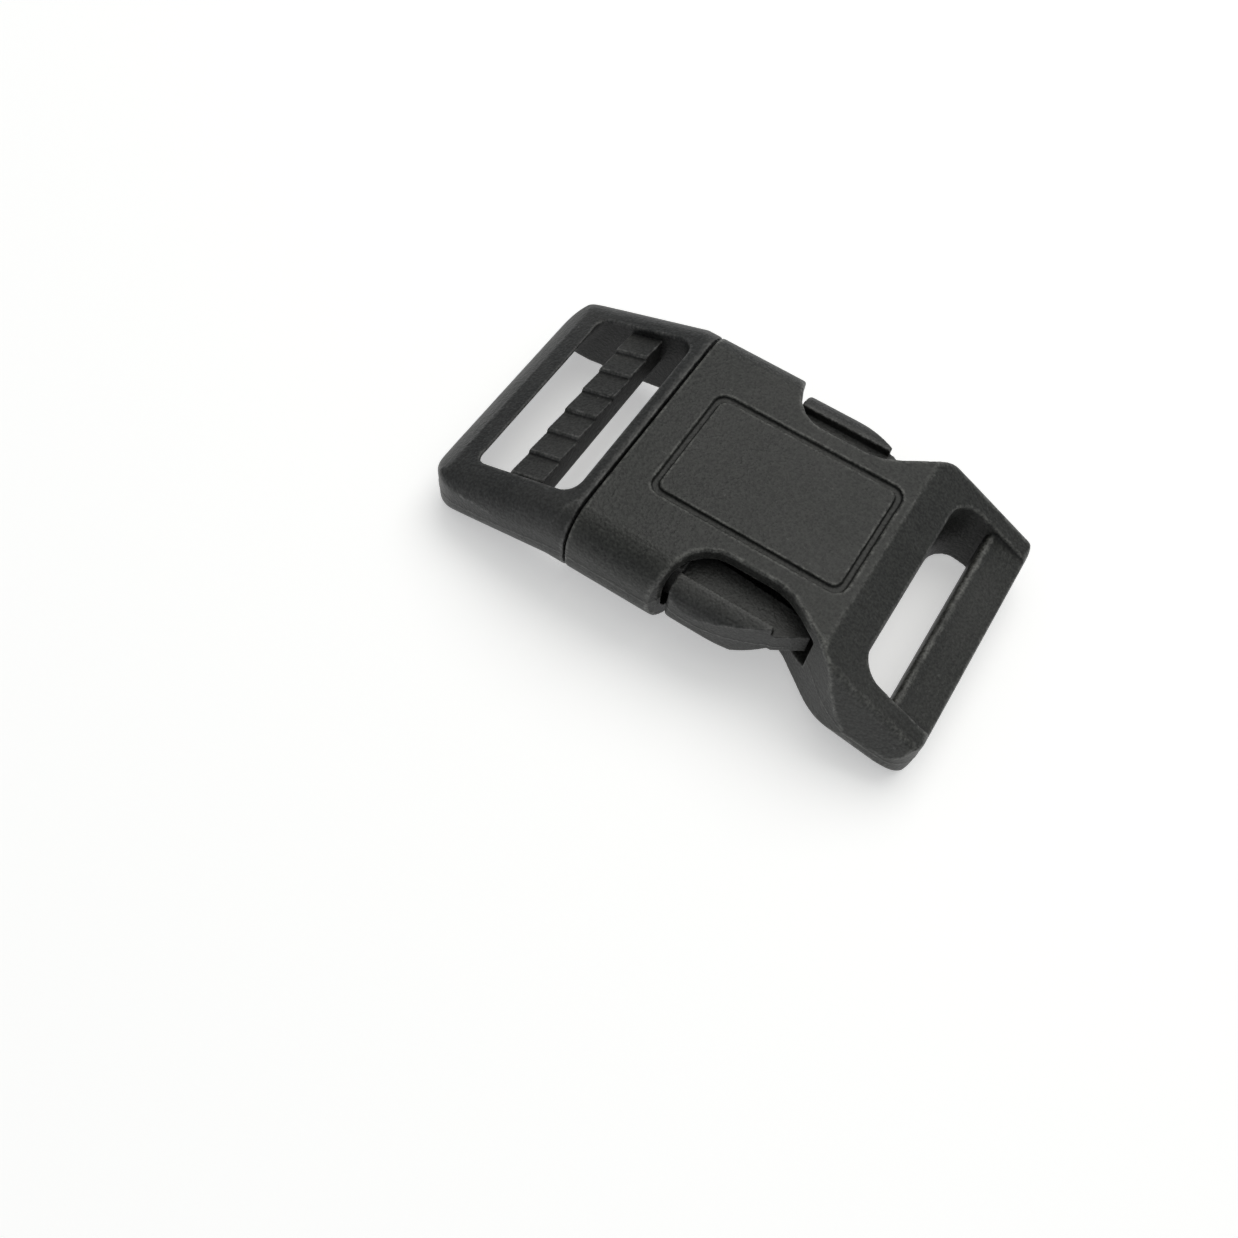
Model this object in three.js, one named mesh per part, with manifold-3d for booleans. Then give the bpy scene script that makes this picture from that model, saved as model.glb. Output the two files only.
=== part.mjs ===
// Contoured side-release buckle for 25 mm webbing, latched.
// Millimetres, +Z up. Origin: centre of the underside. The socket is at +X, the plug at -X.
// Each moulding is broken down into its working members, with a hairline gap between neighbours.

import * as THREE from "three";
import { mergeVertices } from "three/addons/utils/BufferGeometryUtils.js";
import Module from "manifold-3d";

const wasm = await Module();
wasm.setup();

// ---- driving dimensions -------------------------------------------------------------------

const LENGTH = 63.8;
const WIDTH = 35.0;
const HEIGHT = 13.8;
const WEBBING = 26.0; // clear width of every strap slot
const GAP = 0.3; // between neighbouring members
const ARCS = 8; // facets in each rounded corner

const END = LENGTH / 2;
const SIDE = WIDTH / 2;
const STRAP = WEBBING / 2;
const END_SIDE = SIDE - 0.8; // both ends are a little narrower

// Side view: a level middle, two ends that slope down, and an underside arched off the table.
const TOP_EDGE_RADIUS = 4.3;
const BOTTOM_EDGE_RADIUS = 4.6;
const ARCH_RISE = 2.8;
const SOCKET_CREASE = 18.0;
const SOCKET_SLOPE = THREE.MathUtils.degToRad(27);
const PLUG_CREASE = -12.3;
const PLUG_SLOPE = THREE.MathUtils.degToRad(19.1);
const ARCH_FOOT = 28.0; // the underside comes down to the table this far from the middle
const ARCH_SHOULDER = 14.0; // and is level inside this distance
const NOSE = { start: -28.9, fall: 2.0, widest: 4.4, foot: 1.4 }; // rounded plug end
const LIP = { depth: 1.2, fall: 1.6, height: 2.6, foot: 2.0 }; // rounded socket end
const SOCKET_CORNER = 3.0; // plan radius of the two corners at the socket end
const PLUG_CORNER = 5.0;

// Socket: walls round a flat cavity that is open at the mouth and at both finger windows.
const MOUTH = -11.4;
const WALL = 1.9;
const CAVITY_BACK = 16.8;
const CAVITY_RADIUS = 2.4;
const SEAT = 13.0; // the top and bottom walls meet the side walls at this distance from the middle
const WINDOW_FRONT = -0.1;
const WINDOW_DEPTH = 10.3; // from the middle to the deepest edge of a window
const SLOT_FRONT = 22.0;
const SLOT_BACK = 26.6;
const SLOT_CORNER = 3.0;
const BAR_SINK = { inner: 1.2, outer: 0.3 }; // the strap bar lies this far under the rails
const BAR_EDGE = 1.3; // rounding of its inner edge
const PANEL = { x: 4.8, length: 24.0, width: 16.2, radius: 1.3, groove: 0.55, depth: 0.35 };
const RIB = { from: -8, to: 15, inner: 3.2, thickness: 1.2 };

// Plug: a ladder frame for the strap, a guide tongue and two sprung arms.
const SHOULDER_BACK = -13.5;
const FRAME_INNER = 13.1;
const END_BAR = { inner: -26.4, top: 8.9, foot: -30.4, under: 1.2 }; // its inner face leans out
const ADJUSTER = { centre: -19.9, width: 4.3, height: 4.8, sink: 0.7, teeth: 7, notch: 0.5, lip: 0.35 };
const TONGUE = { tip: 12, halfWidth: 2.6, halfHeight: 2.4, taper: 3.0, chamfer: 1.2 };

// One sprung arm, on the +Y side.
const ARM_PIVOT = -9.8;
const LEAF = { centre: 12.5, thickness: 1.9, halfHeight: 3.1 };
const GRIP = { front: 0.9, back: 12.5, outer: 16.6, inner: 13.8, halfHeight: 3.3, rim: 1.6 };
const WEB = { from: 0.9, to: 12.2, inner: 9.4, halfHeight: 2.2 };
const TIP = { end: 16.2, outer: 14.3, inner: 10.6, below: 0.8, taper: 2.0, chamfer: 1.6 };

const MID = (ARCH_RISE + HEIGHT) / 2; // height of the mould's parting line
const REACH = 60; // longer than anything that is cut

// ---- materials ----------------------------------------------------------------------------

const acetal = (color, roughness) => new THREE.MeshStandardMaterial({ color, roughness, metalness: 0 });
const SHELL_BLACK = acetal(0x1d1e1f, 0.52);
const FRAME_BLACK = acetal(0x1a1b1d, 0.5);
const BAR_BLACK = acetal(0x222325, 0.62);
const ARM_BLACK = acetal(0x1b1c1e, 0.48);

// ---- solids -------------------------------------------------------------------------------

function solid(geometry) {
  geometry.deleteAttribute("normal");
  geometry.deleteAttribute("uv");
  const merged = mergeVertices(geometry, 1e-5);
  const vertProperties = new Float32Array(merged.attributes.position.array);
  const triVerts = new Uint32Array(merged.index.array);
  return new wasm.Manifold(new wasm.Mesh({ numProp: 3, vertProperties, triVerts }));
}

function extrude(shape, depth) {
  return new THREE.ExtrudeGeometry(shape, { depth, bevelEnabled: false, curveSegments: ARCS });
}

// A plan outline, drawn in X and Y, raised from one height to another.
function plan(shape, low = -REACH, high = REACH) {
  return solid(extrude(shape, high - low).translate(0, 0, low));
}

// A side outline, drawn in X and Z, run across the buckle.
function sideOn(shape, from = -REACH, to = REACH) {
  const turn = new THREE.Matrix4();
  turn.makeBasis(new THREE.Vector3(1, 0, 0), new THREE.Vector3(0, 0, 1), new THREE.Vector3(0, -1, 0));
  return solid(extrude(shape, to - from).applyMatrix4(turn).translate(0, to, 0));
}

// A cross-section, drawn in Y and Z, run along the buckle.
function lengthways(shape, from = -REACH, to = REACH) {
  const turn = new THREE.Matrix4();
  turn.makeBasis(new THREE.Vector3(0, 1, 0), new THREE.Vector3(0, 0, 1), new THREE.Vector3(1, 0, 0));
  return solid(extrude(shape, to - from).applyMatrix4(turn).translate(from, 0, 0));
}

function block(x0, x1, y0, y1, z0, z1) {
  const box = new THREE.BoxGeometry(x1 - x0, y1 - y0, z1 - z0);
  return solid(box.translate((x0 + x1) / 2, (y0 + y1) / 2, (z0 + z1) / 2));
}

function outline(points) {
  return new THREE.Shape(points.map(([x, y]) => new THREE.Vector2(x, y)));
}

function roundedRectangle(x0, x1, y0, y1, radius) {
  const shape = new THREE.Shape();
  shape.absarc(x1 - radius, y1 - radius, radius, 0, Math.PI / 2);
  shape.absarc(x0 + radius, y1 - radius, radius, Math.PI / 2, Math.PI);
  shape.absarc(x0 + radius, y0 + radius, radius, Math.PI, 1.5 * Math.PI);
  shape.absarc(x1 - radius, y0 + radius, radius, 1.5 * Math.PI, 2 * Math.PI);
  return shape;
}

function mirrored(body, side) {
  return side > 0 ? body : body.mirror([0, 1, 0]);
}

// ---- outer form ---------------------------------------------------------------------------

// A bar with both top edges rounded, its top tilted about a crease across the buckle.
function topBar(crease, angle, radius) {
  const shape = new THREE.Shape();
  shape.absarc(SIDE - radius, -radius, radius, 0, Math.PI / 2);
  shape.absarc(-SIDE + radius, -radius, radius, Math.PI / 2, Math.PI);
  shape.lineTo(-SIDE, -REACH);
  shape.lineTo(SIDE, -REACH);
  const turn = THREE.MathUtils.radToDeg(angle);
  return lengthways(shape).rotate([0, turn, 0]).translate([crease, 0, HEIGHT]);
}

// The same for the underside, which drops from the arch to a foot under each end.
function undersideBar(crease, angle) {
  const r = BOTTOM_EDGE_RADIUS;
  const shape = new THREE.Shape();
  shape.absarc(-SIDE + r, r, r, Math.PI, 1.5 * Math.PI);
  shape.absarc(SIDE - r, r, r, 1.5 * Math.PI, 2 * Math.PI);
  shape.lineTo(SIDE, REACH);
  shape.lineTo(-SIDE, REACH);
  const turn = THREE.MathUtils.radToDeg(angle);
  return lengthways(shape).rotate([0, turn, 0]).translate([crease, 0, ARCH_RISE]);
}

// Side outline: square along the middle, a rounded nose at each end and a flat foot under it.
function endProfile() {
  const noseTop = HEIGHT - Math.tan(PLUG_SLOPE) * (PLUG_CREASE - NOSE.start);
  const lip = END - LIP.depth;
  const lipTop = HEIGHT - Math.tan(SOCKET_SLOPE) * (lip - SOCKET_CREASE);
  const shape = new THREE.Shape();
  shape.moveTo(-END + NOSE.foot, 0);
  shape.lineTo(END - LIP.foot, 0);
  shape.quadraticCurveTo(END, 0, END, LIP.height);
  shape.lineTo(END, lipTop - LIP.fall);
  shape.quadraticCurveTo(END, lipTop, lip, lipTop);
  shape.lineTo(lip, REACH);
  shape.lineTo(NOSE.start, REACH);
  shape.lineTo(NOSE.start, noseTop);
  shape.quadraticCurveTo(-END, noseTop - NOSE.fall, -END, NOSE.widest);
  shape.quadraticCurveTo(-END, 0, -END + NOSE.foot, 0);
  return sideOn(shape);
}

// Plan outline of both mouldings together. Each side steps in at its finger window, and both
// ends are a little narrower than the middle.
function planOutline() {
  const side = [
    [SHOULDER_BACK, SIDE],
    [WINDOW_FRONT - 0.7, SIDE],
    [WINDOW_FRONT, SIDE - 0.6],
    [WINDOW_FRONT + 0.5, 14.4],
    [WINDOW_FRONT + 1.3, 12.2],
    [WINDOW_FRONT + 2.8, 10.8],
    [WINDOW_FRONT + 4.8, WINDOW_DEPTH],
    [11.3, WINDOW_DEPTH],
    [13.7, 11.3],
    [16.9, 13.4],
    [18.9, 15.2],
    [20.9, 16.7],
    [23.0, SIDE - 0.1],
  ];
  const [right, left] = [END - SOCKET_CORNER, -END + PLUG_CORNER];
  const shape = new THREE.Shape();
  shape.absarc(left, -END_SIDE + PLUG_CORNER, PLUG_CORNER, Math.PI, 1.5 * Math.PI);
  side.forEach(([x, y]) => shape.lineTo(x, -y));
  shape.absarc(right, -END_SIDE + SOCKET_CORNER, SOCKET_CORNER, -Math.PI / 2, 0);
  shape.absarc(right, END_SIDE - SOCKET_CORNER, SOCKET_CORNER, 0, Math.PI / 2);
  [...side].reverse().forEach(([x, y]) => shape.lineTo(x, y));
  shape.absarc(left, END_SIDE - PLUG_CORNER, PLUG_CORNER, Math.PI / 2, Math.PI);
  return plan(shape);
}

const archAngle = Math.atan(ARCH_RISE / (ARCH_FOOT - ARCH_SHOULDER));

const underside = undersideBar(0, 0)
  .add(undersideBar(ARCH_SHOULDER, archAngle))
  .add(undersideBar(-ARCH_SHOULDER, -archAngle));

const form = underside
  .intersect(topBar(0, 0, TOP_EDGE_RADIUS))
  .intersect(topBar(SOCKET_CREASE, SOCKET_SLOPE, TOP_EDGE_RADIUS - 0.8))
  .intersect(topBar(PLUG_CREASE, -PLUG_SLOPE, TOP_EDGE_RADIUS - 0.8))
  .intersect(endProfile())
  .intersect(planOutline());

// ---- socket -------------------------------------------------------------------------------

function cavity() {
  const low = ARCH_RISE + WALL;
  const high = HEIGHT - WALL;
  return lengthways(roundedRectangle(-SIDE + WALL, SIDE - WALL, low, high, CAVITY_RADIUS), -REACH, CAVITY_BACK);
}

function strapSlot() {
  return plan(roundedRectangle(SLOT_FRONT, REACH, -STRAP, STRAP, SLOT_CORNER));
}

function panelGroove() {
  const { x, length, width, radius, groove, depth } = PANEL;
  const ring = roundedRectangle(x - length / 2, x + length / 2, -width / 2, width / 2, radius);
  const [inX, inY] = [length / 2 - groove, width / 2 - groove];
  ring.holes.push(roundedRectangle(x - inX, x + inX, -inY, inY, radius - groove / 2));
  return plan(ring, HEIGHT - depth, HEIGHT + 1);
}

const shell = form
  .subtract(cavity())
  .subtract(strapSlot())
  .subtract(block(-REACH, MOUTH, -REACH, REACH, -REACH, REACH));

function socketTopWall() {
  const region = block(MOUTH, CAVITY_BACK, -SEAT, SEAT, MID, HEIGHT + 1);
  return shell.intersect(region).subtract(panelGroove());
}

function socketBottomWall() {
  return shell.intersect(block(MOUTH, CAVITY_BACK, -SEAT, SEAT, -1, MID));
}

function socketSideWall(side) {
  const region = block(MOUTH, WINDOW_FRONT + 2, SEAT + GAP, SIDE + 1, -1, HEIGHT + 1);
  return mirrored(shell.intersect(region), side);
}

function socketBridge() {
  return shell.intersect(block(CAVITY_BACK + GAP, SLOT_FRONT + 1, -STRAP, STRAP, -1, HEIGHT + 1));
}

function socketRail(side) {
  const region = block(CAVITY_BACK + GAP, END + 1, STRAP + GAP, SIDE + 1, -1, HEIGHT + 1);
  return mirrored(shell.intersect(region), side);
}

// The strap bar closes the slot. Its inner top edge is a low rounded ridge.
function strapBar() {
  const fade = (BAR_SINK.inner - BAR_SINK.outer) / (END - SLOT_BACK);
  const sink = (x) => BAR_SINK.inner - fade * (x - SLOT_BACK);
  const top = (x) => HEIGHT - sink(x) - Math.tan(SOCKET_SLOPE) * (x - SOCKET_CREASE);
  const shape = new THREE.Shape();
  shape.moveTo(SLOT_BACK, 0);
  shape.lineTo(END + 1, 0);
  shape.lineTo(END + 1, top(END + 1));
  shape.lineTo(SLOT_BACK + BAR_EDGE, top(SLOT_BACK + BAR_EDGE));
  shape.quadraticCurveTo(SLOT_BACK, top(SLOT_BACK), SLOT_BACK, top(SLOT_BACK) - BAR_EDGE);
  return sideOn(shape, -STRAP, STRAP).intersect(form);
}

// A rib between the walls that keeps the plug's tongue in line.
function guideRib(side) {
  const low = ARCH_RISE + WALL + GAP;
  const high = HEIGHT - WALL - GAP;
  return mirrored(block(RIB.from, RIB.to, RIB.inner, RIB.inner + RIB.thickness, low, high), side);
}

// ---- plug ---------------------------------------------------------------------------------

function plugShoulder() {
  return form.intersect(block(SHOULDER_BACK, MOUTH - GAP, -REACH, REACH, -REACH, REACH));
}

function plugRail(side) {
  const region = block(-REACH, SHOULDER_BACK - GAP, FRAME_INNER, SIDE + 1, -1, HEIGHT + 1);
  return mirrored(form.intersect(region), side);
}

function plugEndBar() {
  const { inner, top, foot, under } = END_BAR;
  const lean = outline([
    [-REACH, under],
    [foot, under],
    [inner, top],
    [inner, HEIGHT],
    [-REACH, HEIGHT],
  ]);
  return form.intersect(sideOn(lean, -FRAME_INNER + GAP, FRAME_INNER - GAP));
}

// Steps across the bar bite the strap: each ramp ends in a small drop to the next. The whole
// bar leans with the frame's top, and its sides stay upright.
function adjusterBar() {
  const { centre, width, height, sink, teeth, notch, lip } = ADJUSTER;
  const half = FRAME_INNER - GAP;
  const pitch = (2 * half) / teeth;
  const steps = new THREE.Shape();
  steps.moveTo(-half, -height);
  steps.lineTo(half, -height);
  for (let i = teeth; i > 0; i -= 1) {
    const y = -half + i * pitch;
    steps.lineTo(y, -notch);
    steps.lineTo(y - pitch + lip, 0);
    steps.lineTo(y - pitch + lip, -notch);
  }
  steps.lineTo(-half, -notch);
  const lean = new THREE.Matrix4().makeShear(0, Math.tan(PLUG_SLOPE), 0, 0, 0, 0);
  const top = HEIGHT - sink - Math.tan(PLUG_SLOPE) * (PLUG_CREASE - centre);
  const place = new THREE.Matrix4().makeTranslation(centre, 0, top).multiply(lean);
  const turn = new THREE.Matrix4();
  turn.makeBasis(new THREE.Vector3(0, 1, 0), new THREE.Vector3(0, 0, 1), new THREE.Vector3(1, 0, 0));
  const bar = extrude(steps, width).translate(0, 0, -width / 2).applyMatrix4(turn).applyMatrix4(place);
  return solid(bar);
}

function guideTongue() {
  const { tip, halfWidth, halfHeight, taper, chamfer } = TONGUE;
  const shape = outline([
    [MOUTH, -halfWidth],
    [tip - taper, -halfWidth],
    [tip, -halfWidth + chamfer],
    [tip, halfWidth - chamfer],
    [tip - taper, halfWidth],
    [MOUTH, halfWidth],
  ]);
  return plan(shape, MID - halfHeight, MID + halfHeight);
}

// The stub that stays with the shoulder where an arm grows out of it.
function armRoot(side) {
  const { centre, thickness, halfHeight } = LEAF;
  const low = centre - thickness / 2;
  const root = block(MOUTH, ARM_PIVOT - GAP, low, low + thickness, MID - halfHeight, MID + halfHeight);
  return mirrored(root, side);
}

// ---- arms ---------------------------------------------------------------------------------

function armLeaf(side) {
  const { centre, thickness, halfHeight } = LEAF;
  const low = centre - thickness / 2;
  const leaf = block(ARM_PIVOT, WEB.from - GAP, low, low + thickness, MID - halfHeight, MID + halfHeight);
  return mirrored(leaf, side);
}

// The thin web that carries the finger grip and runs on to the arm's tip.
function armWeb(side) {
  const { from, to, inner, halfHeight } = WEB;
  const web = block(from, to, inner, GRIP.inner - GAP, MID - halfHeight, MID + halfHeight);
  return mirrored(web, side);
}

// The finger grip: its front face is the catch, its outside sweeps in towards the tip.
function armGrip(side) {
  const { front, back, outer, inner, halfHeight, rim } = GRIP;
  const middle = (front + back) / 2;
  const proud = outer + GAP;
  const shape = new THREE.Shape();
  shape.moveTo(front, inner);
  shape.lineTo(back, inner);
  shape.lineTo(back, inner + GAP);
  shape.quadraticCurveTo(middle + rim, proud, front, outer);
  const section = new THREE.Shape();
  section.moveTo(0, MID - halfHeight);
  section.lineTo(outer - rim, MID - halfHeight);
  section.quadraticCurveTo(proud, MID - halfHeight, proud, MID);
  section.quadraticCurveTo(proud, MID + halfHeight, outer - rim, MID + halfHeight);
  section.lineTo(0, MID + halfHeight);
  return mirrored(plan(shape).intersect(lengthways(section)), side);
}

// The flat tapered tip that leads the arm into the socket.
function armTip(side) {
  const { end, outer, inner, below, taper, chamfer } = TIP;
  const shape = outline([
    [WEB.to + GAP, inner],
    [end - chamfer, inner],
    [end, inner + chamfer],
    [end, outer - taper],
    [GRIP.back + GAP, outer],
    [GRIP.back + GAP, GRIP.inner - GAP],
    [WEB.to + GAP, GRIP.inner - GAP],
  ]);
  return mirrored(plan(shape, MID - below, MID + WEB.halfHeight), side);
}

// ---- assembly -----------------------------------------------------------------------------

function piece(name, body, material) {
  const { vertProperties, triVerts } = body.getMesh();
  const geometry = new THREE.BufferGeometry();
  geometry.setAttribute("position", new THREE.BufferAttribute(vertProperties, 3));
  geometry.setIndex(new THREE.BufferAttribute(triVerts, 1));
  geometry.computeVertexNormals();
  const mesh = new THREE.Mesh(geometry, material);
  mesh.name = name;
  return mesh;
}

const sides = [
  ["left", 1],
  ["right", -1],
];

function makeSocket() {
  const socket = new THREE.Group();
  socket.add(piece("socket_top_wall", socketTopWall(), SHELL_BLACK));
  socket.add(piece("socket_bottom_wall", socketBottomWall(), SHELL_BLACK));
  socket.add(piece("socket_bridge", socketBridge(), SHELL_BLACK));
  socket.add(piece("socket_strap_bar", strapBar(), SHELL_BLACK));
  for (const [name, side] of sides) {
    socket.add(piece(`socket_${name}_side_wall`, socketSideWall(side), SHELL_BLACK));
    socket.add(piece(`socket_${name}_rail`, socketRail(side), SHELL_BLACK));
    socket.add(piece(`socket_${name}_guide_rib`, guideRib(side), SHELL_BLACK));
  }
  return socket;
}

function makePlug() {
  const plug = new THREE.Group();
  plug.add(piece("plug_shoulder", plugShoulder(), FRAME_BLACK));
  plug.add(piece("plug_end_bar", plugEndBar(), FRAME_BLACK));
  plug.add(piece("plug_adjuster_bar", adjusterBar(), BAR_BLACK));
  plug.add(piece("plug_guide_tongue", guideTongue(), FRAME_BLACK));
  for (const [name, side] of sides) {
    plug.add(piece(`plug_${name}_rail`, plugRail(side), FRAME_BLACK));
    plug.add(piece(`plug_${name}_arm_root`, armRoot(side), FRAME_BLACK));
    plug.add(makeArm(name, side));
  }
  return plug;
}

function makeArm(name, side) {
  const arm = new THREE.Group();
  arm.add(piece(`${name}_arm_leaf`, armLeaf(side), ARM_BLACK));
  arm.add(piece(`${name}_arm_web`, armWeb(side), ARM_BLACK));
  arm.add(piece(`${name}_arm_grip`, armGrip(side), ARM_BLACK));
  arm.add(piece(`${name}_arm_tip`, armTip(side), ARM_BLACK));
  return arm;
}

const buckle = new THREE.Group();
buckle.add(makeSocket(), makePlug());

export default buckle;
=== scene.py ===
"""Contoured side-release buckle for webbing, in black acetal: its two mouldings and sprung arms."""

import math

import bmesh
import bpy
import numpy as np
from mathutils import Matrix, Vector


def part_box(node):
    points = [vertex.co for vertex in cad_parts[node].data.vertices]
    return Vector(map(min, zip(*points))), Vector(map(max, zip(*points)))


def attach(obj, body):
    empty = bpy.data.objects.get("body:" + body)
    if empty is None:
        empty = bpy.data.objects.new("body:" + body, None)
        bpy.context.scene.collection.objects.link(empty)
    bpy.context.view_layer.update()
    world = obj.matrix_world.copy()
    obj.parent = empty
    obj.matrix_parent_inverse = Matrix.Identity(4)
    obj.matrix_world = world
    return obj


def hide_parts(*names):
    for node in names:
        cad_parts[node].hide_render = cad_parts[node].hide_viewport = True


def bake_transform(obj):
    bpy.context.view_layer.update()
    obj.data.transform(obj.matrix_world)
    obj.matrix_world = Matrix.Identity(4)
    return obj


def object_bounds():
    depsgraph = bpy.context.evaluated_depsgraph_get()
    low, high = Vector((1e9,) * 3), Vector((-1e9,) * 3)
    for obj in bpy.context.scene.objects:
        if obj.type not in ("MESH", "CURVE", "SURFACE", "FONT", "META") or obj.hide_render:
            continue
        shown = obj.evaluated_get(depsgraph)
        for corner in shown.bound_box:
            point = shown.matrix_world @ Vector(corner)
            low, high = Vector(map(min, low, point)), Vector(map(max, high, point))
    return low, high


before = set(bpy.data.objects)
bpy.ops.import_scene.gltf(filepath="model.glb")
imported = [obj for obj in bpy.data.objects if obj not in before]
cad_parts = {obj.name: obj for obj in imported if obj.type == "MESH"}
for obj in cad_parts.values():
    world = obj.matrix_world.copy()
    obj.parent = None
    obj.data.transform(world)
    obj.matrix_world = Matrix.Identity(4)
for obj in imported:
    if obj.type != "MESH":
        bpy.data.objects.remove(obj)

cad_low, cad_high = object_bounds()

# ---- sizes, all in millimetres ----------------------------------------------------------------

MM = 0.001


def span(node):
    """A CAD node's box in millimetres: (x0, x1, y0, y1, z0, z1)."""
    low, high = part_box(node)
    return tuple(value / MM for pair in zip(low, high) for value in pair)


TOP_WALL = span("socket_top_wall")
SHOULDER = span("plug_shoulder")
BRIDGE = span("socket_bridge")
STRAP_BAR = span("socket_strap_bar")
ADJUSTER = span("plug_adjuster_bar")
GRIP = span("left_arm_grip")
WEB = span("left_arm_web")
TIP = span("left_arm_tip")
LEAF = span("left_arm_leaf")
ROOT = span("plug_left_arm_root")
TONGUE = span("plug_guide_tongue")
RIB = span("socket_left_guide_rib")
LEFT_RAIL = span("plug_left_rail")

END = cad_high.x / MM
SIDE = cad_high.y / MM
TOP = cad_high.z / MM
RISE = SHOULDER[4]
MID = (RISE + TOP) / 2

SOCKET_CREASE = 18.0
SOCKET_FALL = math.tan(math.radians(27))
PLUG_CREASE = -12.3
PLUG_FALL = math.tan(math.radians(19.1))
ARCH_SHOULDER = 14.0
ARCH_FOOT = 28.0
TOP_RADIUS = 4.3
PLUG_RADIUS = 3.5
BOTTOM_RADIUS = 4.9
END_SIDE = SIDE - 0.8

MOUTH = TOP_WALL[0]
WALL = 1.9
CAVITY_BACK = TOP_WALL[1]
WINDOW_FRONT = -0.1
WINDOW_DEPTH = 10.3
SLOT_FRONT = BRIDGE[1] - 1.0  # the bridge runs on beside the slot's rounded corners
SLOT_BACK = STRAP_BAR[0]
STRAP = STRAP_BAR[3]
BAR_SINK = (1.2, 0.3)  # under the rails, at the bar's inner edge and at its lip

SHOULDER_FRONT = SHOULDER[1]
SHOULDER_BACK = SHOULDER[0]
FRAME_INNER = LEFT_RAIL[2]
END_BAR_INNER = -26.4
END_BAR_TOP = 8.6
END_BAR_FOOT = -30.4
END_BAR_UNDER = 1.2

FLASH = 0.06  # how far the parting line stands out
FLASH_WIDTH = 0.17
FLASH_SIDE = 3.9  # it runs only this close to the sides
FLASH_END = 1.2  # and this close to the ends

VOXEL = 0.13
FINE_VOXEL = 0.1
BAR_VOXEL = 0.09
LIMIT = 190000  # most triangles in one piece

PANEL_CENTRE = 4.8
PANEL_HALF_LENGTH = 12.0
PANEL_HALF_WIDTH = 8.1
PANEL_GROOVE = 0.8
PANEL_DEPTH = 0.42

TEETH = 7
TOOTH_DROP = 0.55
BAR_OVERRUN = 0.6  # the adjuster bar runs this far into each rail


# ---- modelling by hand --------------------------------------------------------------------------


def clear():
    if bpy.context.mode != "OBJECT":
        bpy.ops.object.mode_set(mode="OBJECT")
    bpy.ops.object.select_all(action="DESELECT")


def take(obj):
    clear()
    obj.select_set(True)
    bpy.context.view_layer.objects.active = obj


def edit(obj):
    take(obj)
    bpy.ops.object.mode_set(mode="EDIT")
    bpy.ops.mesh.select_mode(type="VERT")


def pick(obj, test):
    """In edit mode, selects the vertices that pass, with the edges and faces between them."""
    bpy.ops.mesh.select_mode(type="VERT")
    bpy.ops.mesh.select_all(action="DESELECT")
    mesh = bmesh.from_edit_mesh(obj.data)
    for vertex in mesh.verts:
        vertex.select = bool(test(vertex.co))
    mesh.select_flush(True)
    bmesh.update_edit_mesh(obj.data)


def pick_edges(obj, test):
    """In edit mode, selects just the edges whose two ends pass together."""
    bpy.ops.mesh.select_mode(type="EDGE")
    bpy.ops.mesh.select_all(action="DESELECT")
    mesh = bmesh.from_edit_mesh(obj.data)
    for edge in mesh.edges:
        edge.select = bool(test(edge.verts[0].co, edge.verts[1].co))
    bmesh.update_edit_mesh(obj.data)


def tidy_mesh(obj):
    edit(obj)
    bpy.ops.mesh.select_all(action="SELECT")
    bpy.ops.mesh.remove_doubles(threshold=0.0005)
    bpy.ops.mesh.normals_make_consistent(inside=False)
    clear()


def settle(obj):
    """Puts an object's place, turn and size into its mesh."""
    take(obj)
    bpy.ops.object.transform_apply(location=True, rotation=True, scale=True)
    clear()
    return obj


def box_at(name, x0, x1, y0, y1, z0, z1):
    clear()
    centre = ((x0 + x1) / 2, (y0 + y1) / 2, (z0 + z1) / 2)
    bpy.ops.mesh.primitive_cube_add(size=1, location=centre, scale=(x1 - x0, y1 - y0, z1 - z0))
    obj = bpy.context.active_object
    obj.name = name
    return settle(obj)


PLACE = {
    "z": lambda u, v, w: Vector((u, v, w)),
    "y": lambda u, v, w: Vector((u, w, v)),
    "x": lambda u, v, w: Vector((w, u, v)),
}


def slab(name, points, axis, low, high):
    """A flat outline drawn point by point, filled, and extruded along an axis."""
    place = PLACE[axis]
    spots = [place(u, v, low) for u, v in points]
    clear()
    bpy.ops.mesh.primitive_plane_add(size=1, location=(0, 0, 0))
    obj = bpy.context.active_object
    obj.name = name
    bpy.ops.object.mode_set(mode="EDIT")
    bpy.ops.mesh.select_mode(type="VERT")
    bpy.ops.mesh.select_all(action="SELECT")
    bpy.ops.mesh.merge(type="CENTER")
    bpy.ops.transform.translate(value=spots[0])
    for before, after in zip(spots, spots[1:]):
        bpy.ops.mesh.extrude_vertices_move(TRANSFORM_OT_translate={"value": after - before})
    bpy.ops.mesh.select_all(action="SELECT")
    bpy.ops.mesh.edge_face_add()
    run = place(0, 0, high) - place(0, 0, low)
    bpy.ops.mesh.extrude_region_move(TRANSFORM_OT_translate={"value": run})
    clear()
    tidy_mesh(obj)
    return obj


def near(value, target, slack=0.02):
    return abs(value - target) < slack


def round_edges(obj, test, radius, steps=6):
    """Rounds the edges whose two ends pass."""
    edit(obj)
    pick_edges(obj, test)
    bpy.ops.mesh.bevel(offset=radius, segments=steps, affect="EDGES", clamp_overlap=True)
    clear()
    return obj


def round_uprights(obj, spots, radius, steps=6):
    """Rounds the upright edges that stand on these plan points."""

    def test(a, b):
        upright = near(a.x, b.x) and near(a.y, b.y)
        return upright and any(near(a.x, x) and near(a.y, y) for x, y in spots)

    return round_edges(obj, test, radius, steps)


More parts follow.
